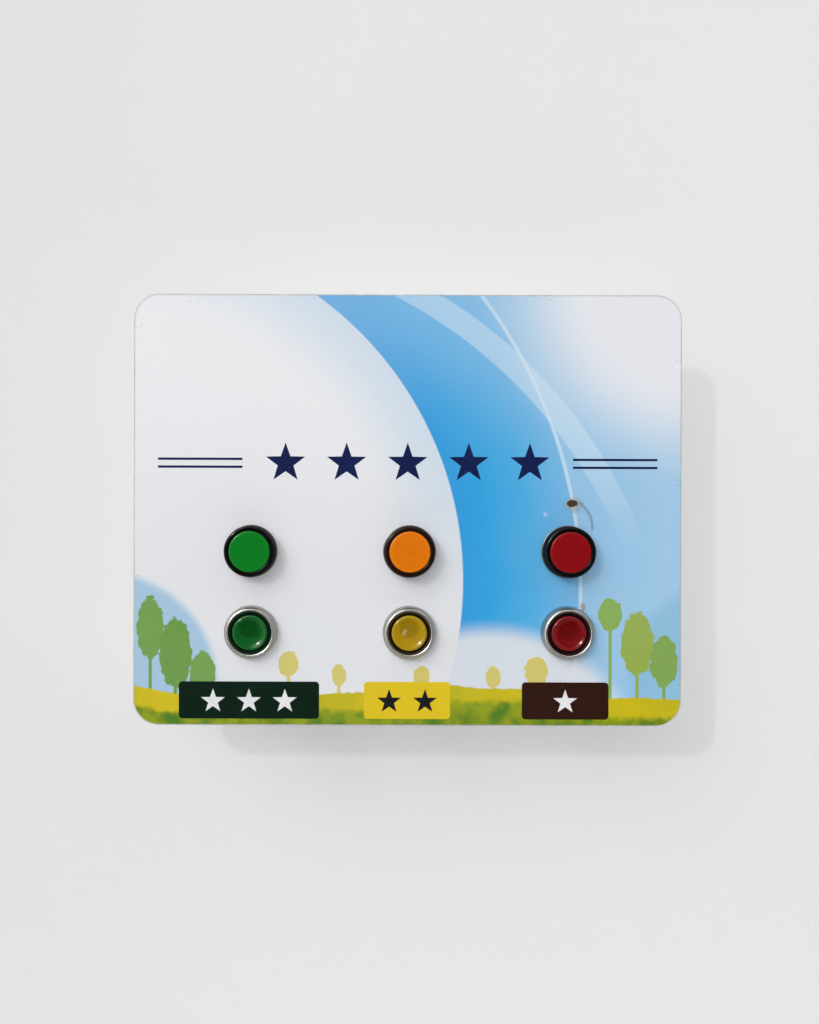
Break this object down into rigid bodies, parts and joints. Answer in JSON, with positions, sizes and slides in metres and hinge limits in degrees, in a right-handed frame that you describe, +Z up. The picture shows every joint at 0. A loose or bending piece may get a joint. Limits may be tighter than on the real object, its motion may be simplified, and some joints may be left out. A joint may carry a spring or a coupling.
{
  "type": "customer feedback button terminal",
  "caption": "Wall-mounted feedback terminal: flat printed panel with round corners, a row of indicator lamps over a row of sprung push buttons, on a shallow steel housing.",
  "frame": {"origin": "on the wall, at the centre of the rear housing's back face and of its four wall holes", "axes": "+X to the right seen from the front, +Z up, -Y straight out of the front panel, +Y into the wall"},
  "size_m": [0.305, 0.0907, 0.24],
  "materials": {
    "panel_sheet": "white sheet, satin, cut edges a little grubby",
    "print_vinyl": "printed vinyl under a satin film",
    "label_green": "printed vinyl, satin",
    "label_yellow": "printed vinyl, satin",
    "label_brown": "printed vinyl, satin",
    "powder_coat": "fine-textured pale grey powder coat on folded steel",
    "zinc_steel": "zinc plated",
    "black_rubber": "matt",
    "board_laminate": "green solder mask",
    "bare_brass": "turned",
    "chip_resin": "matt moulded",
    "tin_can": "drawn shield can",
    "capacitor_sleeve": "shrink sleeve",
    "terminal_plastic": "moulded",
    "black_nylon": "moulded",
    "trim_chrome": "polished",
    "lead_red": "wire insulation",
    "lead_black": "wire insulation",
    "collar_black": "polished moulding",
    "lens_green": "moulded lens, fine satin face",
    "lens_orange": "moulded lens, fine satin face",
    "lens_red": "moulded lens, fine satin face",
    "lamp_plastic": "moulded",
    "lamp_laminate": "white board with small diodes",
    "bezel_metal": "satin plated, turned",
    "cap_green": "polished, tinted through",
    "cap_yellow": "polished, tinted through",
    "cap_red": "polished, tinted through",
    "plunger_nylon": "natural",
    "spring_wire": "drawn wire"
  },
  "bodies": {
    "housing": {"front_panel": "panel_sheet", "graphic_overlay": "print_vinyl", "label_left": "label_green", "label_middle": "label_yellow", "label_right": "label_brown", "rear_housing": "powder_coat", "cover_frame": "powder_coat", "cover_screws": "zinc_steel", "board_screws": "zinc_steel", "terminal_screws": "zinc_steel", "rivet_nuts": "zinc_steel", "cable_grommet": "black_rubber", "panel_gaskets": "black_rubber", "circuit_board": "board_laminate", "board_standoffs": "bare_brass", "fixed_contacts": "bare_brass", "processor_chip": "chip_resin", "wireless_module": "tin_can", "supply_capacitor": "capacitor_sleeve", "terminal_blocks": "terminal_plastic", "panel_nuts": "black_nylon", "button_body_left": "black_nylon", "button_body_middle": "black_nylon", "button_body_right": "black_nylon", "contact_block_left": "black_nylon", "contact_block_middle": "black_nylon", "contact_block_right": "black_nylon", "lamp_trim_rings": "trim_chrome", "lamp_leads": "lead_red", "button_leads": "lead_black", "lamp_collar_left": "collar_black", "lamp_collar_middle": "collar_black", "lamp_collar_right": "collar_black", "lamp_lens_left": "lens_green", "lamp_lens_middle": "lens_orange", "lamp_lens_right": "lens_red", "lamp_body_left": "lamp_plastic", "lamp_body_middle": "lamp_plastic", "lamp_body_right": "lamp_plastic", "lamp_board_left": "lamp_laminate", "lamp_board_middle": "lamp_laminate", "lamp_board_right": "lamp_laminate", "button_bezel_left": "bezel_metal", "button_bezel_middle": "bezel_metal", "button_bezel_right": "bezel_metal", "return_spring_left": "spring_wire", "return_spring_middle": "spring_wire", "return_spring_right": "spring_wire", "contact_spring_left": "spring_wire", "contact_spring_middle": "spring_wire", "contact_spring_right": "spring_wire"},
    "button_left": {"button_cap_left": "cap_green", "plunger_left": "plunger_nylon"},
    "contact_left": {"contact_bridge_left": "bare_brass"},
    "button_middle": {"button_cap_middle": "cap_yellow", "plunger_middle": "plunger_nylon"},
    "contact_middle": {"contact_bridge_middle": "bare_brass"},
    "button_right": {"button_cap_right": "cap_red", "plunger_right": "plunger_nylon"},
    "contact_right": {"contact_bridge_right": "bare_brass"}
  },
  "joints": [
    {"name": "press_left", "type": "slide", "parent": "housing", "child": "button_left", "axis": [0, 1, 0], "range_m": [0, 0.004], "stiffness_N_per_m": 600, "springref_m": -0.004, "deforming": ["return_spring_left"]},
    {"name": "press_middle", "type": "slide", "parent": "housing", "child": "button_middle", "axis": [0, 1, 0], "range_m": [0, 0.004], "stiffness_N_per_m": 600, "springref_m": -0.004, "deforming": ["return_spring_middle"]},
    {"name": "press_right", "type": "slide", "parent": "housing", "child": "button_right", "axis": [0, 1, 0], "range_m": [0, 0.004], "stiffness_N_per_m": 600, "springref_m": -0.004, "deforming": ["return_spring_right"]},
    {"name": "contact_left_slide", "type": "slide", "parent": "housing", "child": "contact_left", "axis": [0, 1, 0], "range_m": [0, 0.004], "stiffness_N_per_m": 150, "springref_m": -0.003, "deforming": ["contact_spring_left"]},
    {"name": "contact_middle_slide", "type": "slide", "parent": "housing", "child": "contact_middle", "axis": [0, 1, 0], "range_m": [0, 0.004], "stiffness_N_per_m": 150, "springref_m": -0.003, "deforming": ["contact_spring_middle"]},
    {"name": "contact_right_slide", "type": "slide", "parent": "housing", "child": "contact_right", "axis": [0, 1, 0], "range_m": [0, 0.004], "stiffness_N_per_m": 150, "springref_m": -0.003, "deforming": ["contact_spring_right"]}
  ],
  "couplings": [
    {"joint": "contact_left_slide", "follows": "press_left", "ratio": 1},
    {"joint": "contact_middle_slide", "follows": "press_middle", "ratio": 1},
    {"joint": "contact_right_slide", "follows": "press_right", "ratio": 1}
  ]
}
